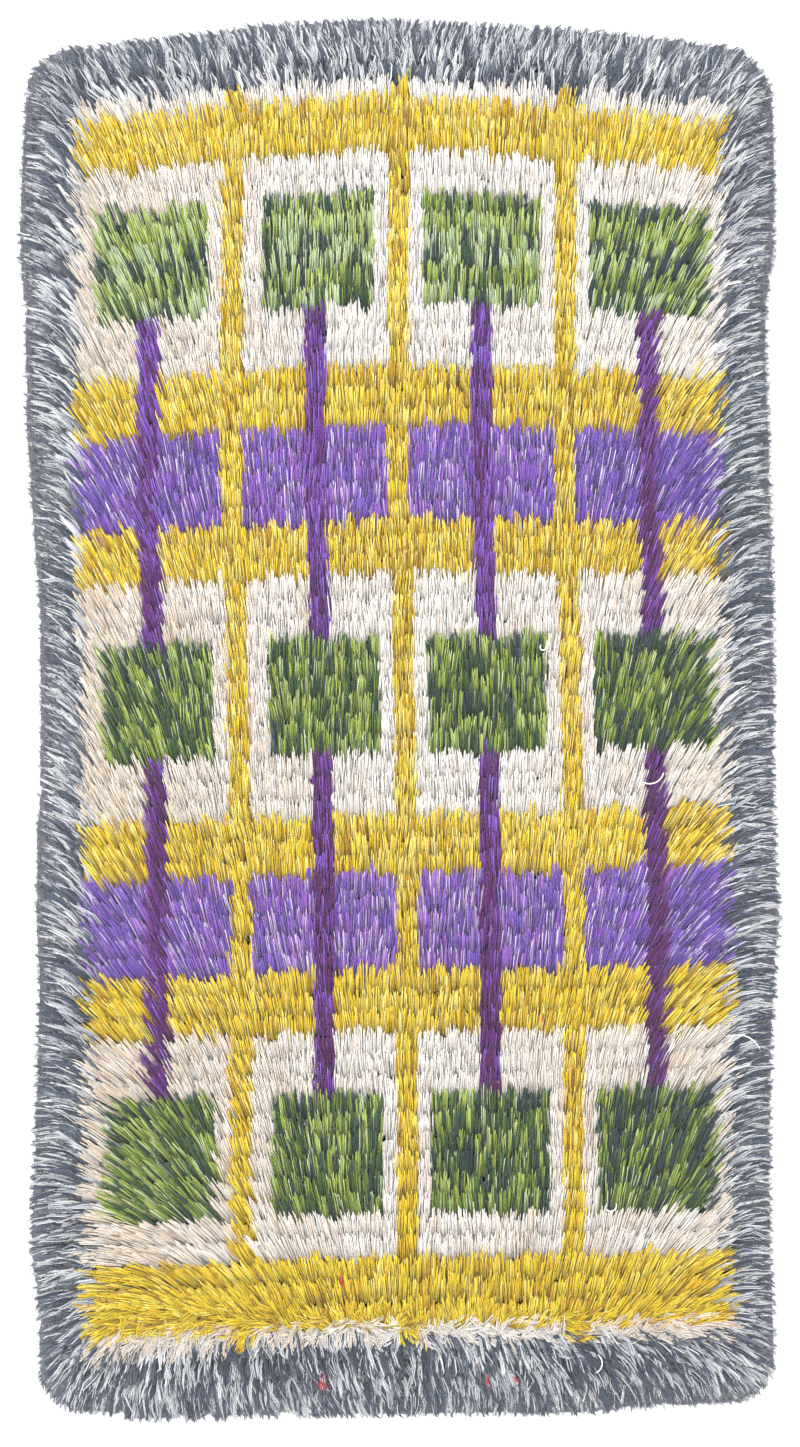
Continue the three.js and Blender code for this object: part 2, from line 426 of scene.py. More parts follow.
# The stage: a floor, an even sky, a soft lamp and a camera straight above.
FLOOR = {"half": 6.0, "level": -0.0005}
FLOOR_SURFACE = {"Base Color": (0.9, 0.9, 0.9, 1.0), "Roughness": 0.9, "Specular IOR Level": 0.1}
WHITE = (1.0, 1.0, 1.0, 1.0)
SKY_STRENGTH = 1.58
KEY_LIGHT = {"place": (-0.9, 1.5, 4.6), "size": 1.6, "power": 190}
CAMERA = {"x": 0.0018, "y": -0.0027, "lens": 85, "sensor": 36, "clip_end": 50}
IN_VIEW = {"height": 1.9317, "level": 0.02}  # what the picture's height takes in, this high over the floor

# The curve between a colour as it is seen and its linear value.
SRGB = {"full": 255, "offset": 0.055, "power": 2.4}


def column(table, name):
    return np.array([row[name] for row in table], dtype=float)


def smooth(t):
    t = np.clip(t, 0, 1)
    return t * t * (3 - 2 * t)


def eased(table, key, name, at):
    """A table's column between its rows, eased so that the line has no corners."""
    keys, values = column(table, key), column(table, name)
    i = np.clip(np.searchsorted(keys, at, side="right") - 1, 0, len(keys) - 2)
    return values[i] + (values[i + 1] - values[i]) * smooth((at - keys[i]) / (keys[i + 1] - keys[i]))


def inside(x, y):
    """Distance in from the outline over the tips, negative outside it."""
    across = np.minimum(x - eased(SIDES, "y", "left", y), eased(SIDES, "y", "right", y) - x)
    along = np.minimum(y - eased(ENDS, "x", "bottom", x), eased(ENDS, "x", "top", x) - y)
    a, b = CORNER_RADIUS - across, CORNER_RADIUS - along
    rounded = CORNER_RADIUS - np.hypot(np.maximum(a, 0), np.maximum(b, 0))
    return np.where((a > 0) & (b > 0), rounded, np.minimum(across, along))


def outward(x, y):
    """Unit vector towards the nearest edge."""
    step = EDGE_STEP
    gx = inside(x - step, y) - inside(x + step, y)
    gy = inside(x, y - step) - inside(x, y + step)
    size = np.maximum(np.hypot(gx, gy), TINY)
    return gx / size, gy / size


def waves(x, y, length, phase):
    """A slow uneven wave from about -1 to 1."""
    k = 2 * math.pi / length
    total = 0
    for wave in WAVES:
        place = wave["across"] * x + wave["along"] * y
        total = total + np.sin(k * place * wave["rate"] + wave["phase"] * phase + wave["ahead"])
    return total / WAVES_TOP


def surface(x, y):
    """Height of the pile's surface over the floor."""
    into = inside(x, y) - SLAB_INSET
    rise = np.sin(math.pi / 2 * np.clip(into / SHOULDER, 0, 1))
    opened = smooth((PARTING["reach"] - np.abs(x)) / PARTING["fade"])
    trough = PARTING["depth"] * opened * np.exp(-(((y - PARTING["y"]) / PARTING["width"]) ** 2))
    lumps = sum(row["height"] * waves(x, y, row["length"], row["phase"]) for row in LUMPS)
    full = RIM_HEIGHT + (PILE_HEIGHT - RIM_HEIGHT) * rise + rise * (lumps - trough)
    outer = TIP_HEIGHT + (RIM_HEIGHT - TIP_HEIGHT) * smooth(1 + into / SLAB_INSET)
    return np.where(into > 0, full, outer)


def lay_angle(x, y):
    """Direction of the locks in radians from +Y, positive towards +X."""
    share = np.clip(np.abs(x) / HALF_WIDTH, 0, 1)
    left = eased(LAY, "y", "left", y) * share ** eased(LAY, "y", "left_power", y)
    right = eased(LAY, "y", "right", y) * share ** eased(LAY, "y", "right_power", y)
    fan = np.where(x < 0, left, right)
    middle = BELOW_PARTING["middle"] * (1 - share)
    below_left = 180 + middle - BELOW_PARTING["left"] * share ** BELOW_PARTING["left_power"]
    below_right = 180 - middle - BELOW_PARTING["right"] * share
    below = np.where(x < 0, below_left, below_right)
    turn = LAY_TURN["middle"] + (LAY_TURN["sides"] - LAY_TURN["middle"]) * share
    above = smooth(0.5 + (y - PARTING["y"]) / (2 * turn))
    degrees = (above * fan + (1 - above) * below) * np.where(x < 0, -1, 1)
    return np.radians(degrees + LAY_WAVES["turn"] * waves(x, y, LAY_WAVES["length"], LAY_WAVES["phase"]))


def tousled(x, y):
    """From 0 to 1: how much the locks stand up and turn about where the pile parts."""
    near = 1 - smooth(np.abs(y - PARTING["y"]) / TOUSLED["width"])
    return near * smooth((PARTING["reach"] + PARTING["fade"] - np.abs(x)) / PARTING["fade"])


def to_rug(u, v):
    """The place on the rug of a point of the cloth's own square grid."""
    share = np.abs(u) / FIELD_HALF
    sag = np.where(u < 0, eased(SAG, "y", "left", v), eased(SAG, "y", "right", v)) * share**SAG_POWER
    return u + eased(COLUMN_SHIFT, "y", "x", v), v - sag


def row_middles():
    """The middle of what shows of each row of knots, its band and its number there. Bands have whole rows."""
    above = np.arange(FIELD_TOP + ROW_PITCH / 2, HALF_LENGTH + ROW_PITCH, ROW_PITCH)
    rows = [{"v": v, "band": -1, "number": 0} for v in above[::-1]]
    top = FIELD_TOP
    for index, band in enumerate(BANDS):
        count = round(band["depth"] / ROW_PITCH)
        for number in range(count):
            v = top - band["depth"] * (number + 0.5) / count
            rows.append({"v": v, "band": index, "number": number})
        top -= band["depth"]
    below = np.arange(top - ROW_PITCH / 2, -HALF_LENGTH - ROW_PITCH, -ROW_PITCH)
    return rows + [{"v": v, "band": -1, "number": 0} for v in below]


def chart(u, band):
    """Wool of the pattern across one band of the cloth, as an index in WOOLS."""
    names = np.array([row["band"] for row in BANDS] + ["border"])[band]
    from_column = u - COLUMN_PITCH * (np.round(u / COLUMN_PITCH - 0.5) + 0.5)
    to_yellow = np.min([np.abs(u - c * COLUMN_PITCH) for c in YELLOW_BAR["at"]], axis=0)
    squares = [i for i, row in enumerate(BANDS) if row["band"] == "squares"]
    between = (band > squares[0]) & (band < squares[-1]) & (names != "squares")
    wool = np.where(names == "yellow", "yellow", "cream")
    wool = np.where(names == "violet", "violet", wool)
    before = np.where(u < 0, SQUARE["before_left"], SQUARE["before_right"]) + 0.5
    in_square = (from_column > -before * KNOT_PITCH) & (from_column < (SQUARE["after"] + 0.5) * KNOT_PITCH)
    wool = np.where((names == "squares") & in_square, "green", wool)
    wool = np.where(between & (np.abs(from_column) < PLUM_BAR["width"] / 2), "plum", wool)
    wool = np.where(to_yellow < YELLOW_BAR["width"] / 2, "yellow", wool)
    wool = np.where((np.abs(u) > FIELD_HALF) | (names == "border"), "slate", wool)
    return np.select([wool == name for name in WOOLS], range(len(WOOLS)))


def knot_grid():
    """The cloth's grid of knots, with more of them between the rows at the rim and where the pile parts."""
    rows = row_middles()
    last = math.ceil(HALF_WIDTH / KNOT_PITCH)
    columns = np.arange(-last, last + 1) * KNOT_PITCH
    u, row = (a.ravel() for a in np.meshgrid(columns, np.arange(len(rows))))
    v = column(rows, "v")[row]
    next_v = column(rows, "v")[np.minimum(row + 1, len(rows) - 1)]
    u, row = np.tile(u, 2), np.tile(row, 2)
    between = np.repeat([False, True], v.size)
    v = np.concatenate([v, (v + next_v) / 2])
    x, y = to_rug(u, v)
    more = (inside(x, y) < RIM_BAND) | (tousled(x, y) > TOUSLED["more_knots"])
    to_end = np.abs(outward(x, y)[1])
    edge = EDGE_OF_KNOTS["sides"] + (EDGE_OF_KNOTS["ends"] - EDGE_OF_KNOTS["sides"]) * to_end
    used = (inside(x, y) > edge) & (more | ~between)
    band, number = (column(rows, name).astype(int)[row[used]] for name in ("band", "number"))
    return u[used], v[used], band, number


def knots():
    """All the knots: the middle of what shows of each, its direction, its root and its wool."""
    u, v, band, number = knot_grid()
    across = rng.uniform(-KNOT_STRAY["across"], KNOT_STRAY["across"], u.size) * KNOT_PITCH
    along = rng.uniform(-KNOT_STRAY["along"], KNOT_STRAY["along"], v.size) * ROW_PITCH
    x, y = to_rug(u + across, v + along)
    loose = tousled(x, y)
    angle = lay_angle(x, y) + np.radians(rng.normal(0, KNOT_STRAY["turn"] + TOUSLED["turn"] * loose, x.size))
    edge_x, edge_y = outward(x, y)
    near = RIM_TURN["share"] * smooth(1 - (inside(x, y) - EDGE_OF_KNOTS["sides"]) / RIM_TURN["within"])
    dx = (1 - near) * np.sin(angle) + near * edge_x
    dy = (1 - near) * np.cos(angle) + near * edge_y
    size = np.maximum(np.hypot(dx, dy), TINY)
    dx, dy = dx / size, dy / size
    share = np.clip(np.abs(x) / HALF_WIDTH, 0, 1)
    reach = (REACH["middle"] + REACH["sides"] * share**2) * (1 - (1 - TOUSLED["reach"]) * loose)
    return {
        "x": x - dx * reach * VISIBLE_MIDDLE,
        "y": y - dy * reach * VISIBLE_MIDDLE,
        "dx": dx,
        "dy": dy,
        "reach": reach * (1 + REACH["spread"] * rng.normal(0, 1, x.size)),
        "wool": chart(u, band),
        "band": band,
        "number": number,
        "streak": rng.random(x.size),
        "loose": loose,
    }


def tones(k, count):
    """A place on its wool's range of colours for every lock, from 0, darkest, to 1, palest."""
    even = rng.random(count)
    drift = column(DYES, "to_top")[k["wool"]] * k["y"] / HALF_LENGTH
    drift = drift + column(DYES, "to_right")[k["wool"]] * k["x"] / HALF_WIDTH
    drift = drift + column(DYES, "to_sides")[k["wool"]] * np.abs(k["x"]) / HALF_WIDTH
    patch = waves(k["x"], k["y"], PATCHES["length"], PATCHES["phase"])
    own = np.where(rng.random(count) < SAME_AS_KNOT, k["streak"], rng.random(count))
    pick = own + PATCHES["on_pick"] * patch
    row = np.minimum(k["number"], len(FIRST_SQUARES) - 1)
    first = k["band"] == [entry["band"] for entry in BANDS].index("squares")
    dark_share, dark, light = (
        np.where(first, column(FIRST_SQUARES, name)[row], usual) for name, usual in SQUARES.items()
    )
    green = np.where(pick < dark_share, dark, light) + SQUARES_SPREAD * (even - 0.5) + drift
    pale = SLATE_LOCKS["light_from"] + SLATE_LOCKS["light_range"] * even
    slate = np.where(pick < SLATE_LOCKS["dark_share"], SLATE_LOCKS["dark_to"] * even, pale)
    by_lock = column(DYES, "by_lock")[k["wool"]] * (even - 0.5)
    other = MIDDLE_TONE + by_lock + PATCHES["on_tone"] * patch + drift
    of_wool = [k["wool"] == WOOLS.index(name) for name in ("slate", "green")]
    return np.select(of_wool, [slate, green], other)


def locks(k):
    """The locks of every knot, side by side."""
    k = {name: np.repeat(value, LOCKS_PER_KNOT) for name, value in k.items()}
    n = k["x"].size
    spots = (np.arange(LOCKS_PER_KNOT) + 0.5) / LOCKS_PER_KNOT - 0.5
    side = np.tile(spots, n // LOCKS_PER_KNOT) * KNOT_PITCH
    on = rng.permuted(np.tile(spots, (n // LOCKS_PER_KNOT, 1)), axis=1).ravel() * ROW_PITCH * np.abs(k["dx"])
    turn = np.radians(rng.normal(0, LOCK_STRAY["turn"] + TOUSLED["lock_turn"] * k["loose"], n))
    dx, dy = k["dx"], k["dy"]
    k["dx"] = dx * np.cos(turn) + dy * np.sin(turn)
    k["dy"] = dy * np.cos(turn) - dx * np.sin(turn)
    k["x"] = k["x"] + side + rng.normal(0, LOCK_STRAY["across_mm"], n)
    k["y"] = k["y"] + on + rng.uniform(-LOCK_STRAY["along"], LOCK_STRAY["along"], n) * ROW_PITCH
    k["reach"] = k["reach"] * (1 + REACH["spread"] * rng.normal(0, 1, n))
    k["tone"] = tones(k, n)
    k["lift"] = column(YARNS, "lift")[k["wool"]] * rng.normal(0, 1, n)
    k["bow"] = column(YARNS, "bow")[k["wool"]] * (1 + TOUSLED["bow"] * k["loose"]) * rng.normal(0, 1, n)
    k["bow"] = k["bow"] - column(YARNS, "curl")[k["wool"]] * np.sign(k["x"]) * (1 - k["loose"])
    k["wave"] = column(YARNS, "wave")[k["wool"]] * rng.normal(0, 1, n)
    return k


def held_back(x, y, dx, dy, reach, stray_share):
    """The reach of each strand, shortened where its tip would pass the outline, but for a few strays."""
    edge_x, edge_y = outward(x + dx * reach, y + dy * reach)
    end = TIPS_END["sides"] + (TIPS_END["ends"] - TIPS_END["sides"]) * np.abs(edge_y)
    end = end + TIPS_END["spread"] * np.abs(rng.normal(0, 1, x.size))
    end = np.where(rng.random(x.size) < stray_share, -STRAY_TIPS["beyond"] * rng.random(x.size), end)
    past = np.maximum(end - inside(x + dx * reach, y + dy * reach), 0)
    return np.maximum(reach - past / np.maximum(dx * edge_x + dy * edge_y, TOWARDS_EDGE), REACH["least"])


def strands(form, k):
    """Every strand's centre line, width and colour values."""
    count = form["in_a_lock"]
    s = {name: np.repeat(value, count) for name, value in locks(k).items()}
    n = s["x"].size
    slot = rng.permuted(np.tile(np.arange(count), (n // count, 1)), axis=1).ravel()
    stray = STRAND_STRAY
    place = ((slot + 0.5) / count - 0.5) * KNOT_PITCH / LOCKS_PER_KNOT * STRANDS_SPREAD
    gathered = 1 - column(YARNS, "gather")[s["wool"]]
    root_side = place + rng.normal(0, stray["root_across"], n)
    root_on = rng.uniform(-stray["root_along"], stray["root_along"], n)
    tip_side = place * gathered + rng.normal(0, stray["tip_across"], n) * gathered
    side_x, side_y = s["dy"], -s["dx"]
    root_x = s["x"] + side_x * root_side + s["dx"] * root_on
    root_y = s["y"] + side_y * root_side + s["dy"] * root_on
    full = s["reach"] + rng.normal(0, stray["reach"], n)
    reach = held_back(root_x, root_y, s["dx"], s["dy"], full, STRAY_TIPS["share"])
    show_x = root_x + s["dx"] * reach * VISIBLE_MIDDLE
    show_y = root_y + s["dy"] * reach * VISIBLE_MIDDLE
    stained = np.any([np.hypot(show_x - a["x"], show_y - a["y"]) < a["radius"] for a in STAINS], axis=0)
    lift = s["lift"] + rng.normal(0, stray["lift"], n)
    return {
        "path": path(form, root_x, root_y, s, reach, tip_side - root_side, lift),
        "side": np.stack([side_x, side_y, np.zeros(n)], axis=1),
        "half_width": strand_widths(form, n) / 2,
        "half_height": strand_widths(form, n) / 2,
        "tone": strand_tones(s),
        "shade": np.where(stained, STAINED, rng.random(n)),
        "wool": s["wool"],
        "y": s["y"],
    }


def strand_widths(form, n):
    width = form["width"]
    return np.clip(rng.normal(width["mean"], width["spread"], n), width["least"], width["most"])


def strand_tones(s):
    """Each strand's tone: near its lock's, but for some of the darkest and the palest."""
    n = s["tone"].size
    lot = rng.random(n)
    above = smooth((s["y"] + HALF_LENGTH) / HALF_LENGTH)
    shares = [column(ODD_STRANDS, name)[s["wool"]] for name in ("dark_low", "dark", "pale_low", "pale")]
    dark = shares[0] + (shares[1] - shares[0]) * above
    pale = shares[2] + (shares[3] - shares[2]) * above
    own = np.clip(s["tone"] + column(DYES, "mixed")[s["wool"]] * rng.uniform(-1, 1, n), 0, 1)
    darkest = ODD_RANGE * rng.random(n)
    palest = 1 - ODD_RANGE + ODD_RANGE * rng.random(n)
    return np.select([lot < dark, lot > 1 - pale], [darkest, palest], own)


def bodies(k):
    """The wide soft body of every knot's lock, just under its strands; its darker tones are painted shade in
    the gaps between them.
    """
    n = k["x"].size
    k = {**k, "bow": np.zeros(n), "wave": np.zeros(n)}
    reach = held_back(k["x"], k["y"], k["dx"], k["dy"], k["reach"], 0)
    flat = np.clip(surface(k["x"], k["y"]) / PILE_HEIGHT, LEAST_BODY, 1)
    width = BODY_WIDTH["along"] + (BODY_WIDTH["sideways"] - BODY_WIDTH["along"]) * np.abs(k["dx"])
    return {
        "path": path(BODY, k["x"], k["y"], k, reach - BODY_SHORTER, np.zeros(n), np.zeros(n)),
        "side": np.stack([k["dy"], -k["dx"], np.zeros(n)], axis=1),
        "half_width": width / 2,
        "half_height": BODY_HEIGHT / 2 * flat,
        # Painted shade: the bodies under the strands take a darker tone and the darker half of the shades.
        "tone": column(YARNS, "body")[k["wool"]],
        "shade": BODY_PAINTED_SHADE * rng.random(n),
        "wool": k["wool"],
        "y": k["y"],
    }


def path(form, root_x, root_y, s, reach, drift, lift):
    """The places of a form's rings and tip for every root, over the floor and under the pile's surface."""
    points = []
    for level, under in zip(form["levels"], form["under"]):
        bent = s["bow"] * math.sin(math.pi * level) + s["wave"] * math.sin(2 * math.pi * level)
        sideways = drift * level + bent
        x = root_x + s["dx"] * reach * level + s["dy"] * sideways
        y = root_y + s["dy"] * reach * level - s["dx"] * sideways
        top = surface(x, y)
        deep = np.clip(top / PILE_HEIGHT, LEAST_DEPTH, 1)
        points.append(np.stack([x, y, np.maximum(top + (lift - under) * deep, LOWEST)], axis=1))
    return np.stack(points, axis=1)


def tube_faces(form):
    """Corners of one tube's faces, with each corner's place round and along it: rings, an end and a tip."""
    m, levels = form["sides"], form["levels"]
    rings = len(levels) - 1
    tip = rings * m
    faces = [[(corner, corner / m, levels[0]) for corner in range(m)]]
    for side in range(m):
        after = (side + 1) % m
        near, far = side / m, (side + 1) / m
        for ring in range(rings - 1):
            low, high = ring * m, (ring + 1) * m
            faces.append([
                (low + after, far, levels[ring]),
                (low + side, near, levels[ring]),
                (high + side, near, levels[ring + 1]),
                (high + after, far, levels[ring + 1]),
            ])
        last = (rings - 1) * m
        faces.append([
            (last + after, far, levels[-2]),
            (last + side, near, levels[-2]),
            (tip, (near + far) / 2, levels[-1]),
        ])
    return faces


def tube_corners(form, s, chosen):
    """Places of every chosen tube's corners, in metres."""
    points = s["path"][chosen] * MM
    points[:, :, 0] += CENTRING["x"] * MM
    points[:, :, 1] += CENTRING["y"] * MM
    side = s["side"][chosen]
    half_width, half_height = s["half_width"][chosen] * MM, s["half_height"][chosen] * MM
    corners = []
    for ring, thickness in enumerate(form["thickness"]):
        forward = points[:, ring + 1] - points[:, max(ring - 1, 0)]
        forward = forward / np.linalg.norm(forward, axis=1, keepdims=True)
        up = np.cross(side, forward)
        for corner in range(form["sides"]):
            angle = 2 * math.pi * (corner / form["sides"] + form["first_corner"])
            across = side * (math.cos(angle) * thickness * half_width)[:, None]
            raised = up * (math.sin(angle) * thickness * half_height)[:, None]
            corners.append(points[:, ring] + across + raised)
    corners.append(points[:, -1])
    return np.stack(corners, axis=1)


def tubes(form, s, chosen, cells):
    """The arrays that make up a mesh of all the chosen tubes."""
    place = tube_corners(form, s, chosen)
    n, per_tube = place.shape[:2]
    faces = tube_faces(form)
    corner_index = np.array([c[0] for face in faces for c in face])
    around = np.array([c[1] for face in faces for c in face])
    length = np.array([c[2] for face in faces for c in face])
    lengths = np.array([len(face) for face in faces])
    yarn = np.empty((n, per_tube, 3), dtype=np.float32)
    yarn[:, :, 0] = s["tone"][chosen][:, None]
    yarn[:, :, 1] = s["shade"][chosen][:, None]
    yarn[:, :, 2] = np.append(np.repeat(form["levels"][:-1], form["sides"]), form["levels"][-1])
    return {
        "place": place.reshape(-1, 3),
        "index": (np.arange(n)[:, None] * per_tube + corner_index).ravel(),
        "lengths": np.tile(lengths, n),
        "cell": cell_coordinates(n, around, length, cells),
        "twist": np.stack([np.tile(around * form["plies"], n), np.tile(length * form["turns"], n)], axis=1),
        "yarn": yarn.reshape(-1, 3),
    }


def pile_piece(name, parts):
    """One mesh of several lots of tubes."""
    shift = np.cumsum([0] + [len(part["place"]) for part in parts[:-1]])
    place = np.concatenate([part["place"] for part in parts])
    index = np.concatenate([part["index"] + ahead for part, ahead in zip(parts, shift)])
    lengths = np.concatenate([part["lengths"] for part in parts])
    mesh = bpy.data.meshes.new(name)
    mesh.vertices.add(len(place))
    mesh.vertices.foreach_set("co", place.astype(np.float32).ravel())
    mesh.loops.add(index.size)
    mesh.loops.foreach_set("vertex_index", index.astype(np.int32))
    mesh.polygons.add(lengths.size)
    starts = np.concatenate([[0], np.cumsum(lengths)[:-1]])
    mesh.polygons.foreach_set("loop_start", starts.astype(np.int32))
    mesh.polygons.foreach_set("use_smooth", np.ones(lengths.size, dtype=bool))
    mesh.update(calc_edges=True)
    add_uv(mesh, "OFBake", np.concatenate([part["cell"] for part in parts]))
    add_uv(mesh, "Twist", np.concatenate([part["twist"] for part in parts]))
    attribute = mesh.attributes.new("yarn", "FLOAT_VECTOR", "POINT")
    attribute.data.foreach_set("vector", np.concatenate([part["yarn"] for part in parts]).ravel())
    return add_object(name, mesh)


def cell_coordinates(count, around, length, cells):
    """Every tube's own cell of a strip of the unit square, long side up."""
    height = cells[1] - cells[0]
    columns = math.ceil(math.sqrt(CELL["aspect"] * count / height))
    rows = math.ceil(count / columns)
    i = np.arange(count)[:, None]
    u = (i % columns + CELL["left"] + CELL["width"] * around) / columns
    v = cells[0] + height * (i // columns + CELL["bottom"] + CELL["height"] * length) / rows
    return np.stack([u.ravel(), v.ravel()], axis=1)


def add_uv(mesh, name, places):
    layer = mesh.uv_layers.new(name=name)
    layer.uv.foreach_set("vector", places.astype(np.float32).ravel())


def add_object(name, data):
    obj = bpy.data.objects.new(name, data)
    bpy.context.scene.collection.objects.link(obj)
    return obj


def srgb(r, g, b):
    """A colour as it is seen, from 0 to 255, in the linear values that a shader takes."""
    offset = SRGB["offset"]
    return tuple(((c / SRGB["full"] + offset) / (1 + offset)) ** SRGB["power"] for c in (r, g, b)) + (1.0,)


class Nodes:
    """Short ways to add shader nodes."""

    def __init__(self, name):
        self.material = bpy.data.materials.new(name)
        self.material.use_nodes = True
        self.tree = self.material.node_tree
        self.shader = self.tree.nodes["Principled BSDF"]

    def add(self, kind, **values):
        node = self.tree.nodes.new(kind)
        for key, value in values.items():
            setattr(node, key, value)
        return node

    def link(self, source, target):
        self.tree.links.new(source, target)

    def set(self, values):
        """Puts constants on the shader's own sockets."""
        for name, value in values.items():
            self.shader.inputs[name].default_value = value

    def place(self):
        return self.add("ShaderNodeTexCoord").outputs["Object"]

    def split(self, vector):
        node = self.add("ShaderNodeSeparateXYZ")
        self.link(vector, node.inputs[0])
        return node.outputs

    def math(self, operation, *values, clamp=False):
        node = self.add("ShaderNodeMath", operation=operation, use_clamp=clamp)
        for socket, value in zip(node.inputs, values):
            self.feed(socket, value)
        return node.outputs[0]

    def feed(self, socket, value):
        if isinstance(value, bpy.types.NodeSocket):
            self.link(value, socket)
        else:
            socket.default_value = value

    def ramp(self, fac, stops):
        node = self.add("ShaderNodeValToRGB")
        elements = node.color_ramp.elements
        while len(elements) < len(stops):
            elements.new(1.0)
        for element, (position, color) in zip(elements, stops):
            element.position = position
            element.color = srgb(*color)
        self.link(fac, node.inputs["Fac"])
        return node.outputs["Color"]

    def mixed(self, share, color, other):
        node = self.add("ShaderNodeMix", data_type="RGBA")
        self.feed(node.inputs["Factor"], share)
        self.link(color, node.inputs[MIX["color"]])
        node.inputs[MIX["other"]].default_value = other
        return node.outputs[MIX["result"]]

    def scaled(self, color, amount):
        """The colour made darker or lighter by a value."""
        node = self.add("ShaderNodeVectorMath", operation="SCALE")
        self.link(color, node.inputs[0])
        self.feed(node.inputs["Scale"], amount)
        return node.outputs[0]

    def map_range(self, value, low, high, to_low, to_high):
        node = self.add("ShaderNodeMapRange", interpolation_type="SMOOTHSTEP")
        for socket, item in zip(node.inputs, (value, low, high, to_low, to_high)):
            self.feed(socket, item)
        return node.outputs[0]

    def noise(self, vector, scale, detail=DETAIL):
        node = self.add("ShaderNodeTexNoise")
        node.inputs["Scale"].default_value = scale
        node.inputs["Detail"].default_value = detail
        self.link(vector, node.inputs["Vector"])
        return node.outputs["Fac"]

    def bump(self, height, strength, distance):
        node = self.add("ShaderNodeBump")
        node.inputs["Strength"].default_value = strength
        node.inputs["Distance"].default_value = distance
        self.link(height, node.inputs["Height"])
        self.link(node.outputs["Normal"], self.shader.inputs["Normal"])


def wool_material(name, stops, shades):
    """Twisted wool yarn: its own tone for each strand, painted shade that darkens it towards the root, plies
    with painted shade in their grooves, and stray fibres.
    """
    m = Nodes(name)
    yarn = m.add("ShaderNodeAttribute", attribute_name="yarn")
    tone, shade_or_mark, along = m.split(yarn.outputs["Vector"])
    shade = m.math("MINIMUM", shade_or_mark, 1.0)
    place = m.place()
    patch = m.math("SUBTRACT", m.noise(place, YARN["patch_scale"]), 0.5)
    faded = m.math("ADD", tone, m.math("MULTIPLY", patch, YARN["patch"]), clamp=True)
    from_spot = m.math("ABSOLUTE", m.math("SUBTRACT", along, VISIBLE_MIDDLE))
    spot = m.map_range(from_spot, STAIN_SPOT["full"], STAIN_SPOT["none"], 1.0, 0.0)
    stain = m.math("MULTIPLY", m.math("GREATER_THAN", shade_or_mark, (1 + STAINED) / 2), spot)
    color = m.mixed(stain, m.ramp(faded, stops), srgb(*STAIN_COLOR))

    around, turns, _ = m.split(m.add("ShaderNodeUVMap", uv_map="Twist").outputs[0])
    ply = m.math("SINE", m.math("MULTIPLY", m.math("ADD", around, turns), 2 * math.pi))
    fibre = m.noise(place, YARN["fibre_scale"], YARN["fibre_detail"])

    # Painted shade: the colour darkens towards the root, where the strand lies deep in the pile.
    deep = m.map_range(along, YARN["root_shade_from"], YARN["root_shade_to"], shades["root"], 1.0)
    # Painted shade in the grooves between the plies.
    ply_groove_shade = m.math("MULTIPLY_ADD", ply, YARN["ply"], YARN["ply_shade_base"])
    own = m.math("MULTIPLY_ADD", shade, shades["own"], YARN["own_base"] - shades["own"] / 2)
    fuzz = m.math("MULTIPLY_ADD", fibre, YARN["fibre"], YARN["fibre_base"])
    amount = m.math("MULTIPLY", m.math("MULTIPLY", deep, ply_groove_shade), m.math("MULTIPLY", own, fuzz))
    m.link(m.scaled(color, amount), m.shader.inputs["Base Color"])

    height = m.math("ADD", ply, m.math("MULTIPLY", fibre, YARN["fibre_height"]))
    m.bump(height, YARN["bump"], YARN["bump_height"])
    m.set({**WOOL_SURFACE, "Sheen Weight": shades["sheen"]})
    return m.material


def loose_yarns():
    """Long loose yarns in arcs on the pile, their ends pushed down into it."""
    t = np.array(LOOSE_YARN["levels"])
    paths = []
    for entry in LOOSE_YARNS:
        turn = np.radians(entry["from"] + (entry["to"] - entry["from"]) * t)
        x = entry["x"] + entry["radius"] * np.cos(turn)
        y = entry["y"] + entry["radius"] * np.sin(turn)
        down = LOOSE_YARN["ends_down"] * np.abs(2 * t - 1) ** LOOSE_YARN["ends_power"]
        height = surface(x, y) + LOOSE_YARN["over"] - down
        paths.append(np.stack([x, y, height], axis=1))
    n = len(LOOSE_YARNS)
    return {
        "path": np.stack(paths),
        "side": np.tile([0.0, 0.0, 1.0], (n, 1)),
        "half_width": np.full(n, LOOSE_YARN["width"] / 2),
        "half_height": np.full(n, LOOSE_YARN["width"] / 2),
        "tone": np.full(n, LOOSE_YARN["tone"]),
        "shade": np.full(n, LOOSE_YARN["tone"]),
        "wool": np.full(n, WOOLS.index("cream")),
        "y": column(LOOSE_YARNS, "y"),
    }


def ground_faces(columns, rows):
    """Corners of the faces of a grid with a top and an underside, and of the wall round its rim."""
    i, j = np.meshgrid(np.arange(rows - 1), np.arange(columns - 1), indexing="ij")
    first = (i * columns + j).ravel()
    quad = np.stack([first, first + 1, first + columns + 1, first + columns], axis=1)
    rim = np.concatenate([
        np.arange(columns),
        np.arange(1, rows) * columns + columns - 1,
        (rows - 1) * columns + np.arange(columns - 2, -1, -1),
        np.arange(rows - 2, 0, -1) * columns,
    ])
    beyond = np.roll(rim, -1)
    under = columns * rows
    return quad, np.stack([rim + under, beyond + under, beyond, rim], axis=1)


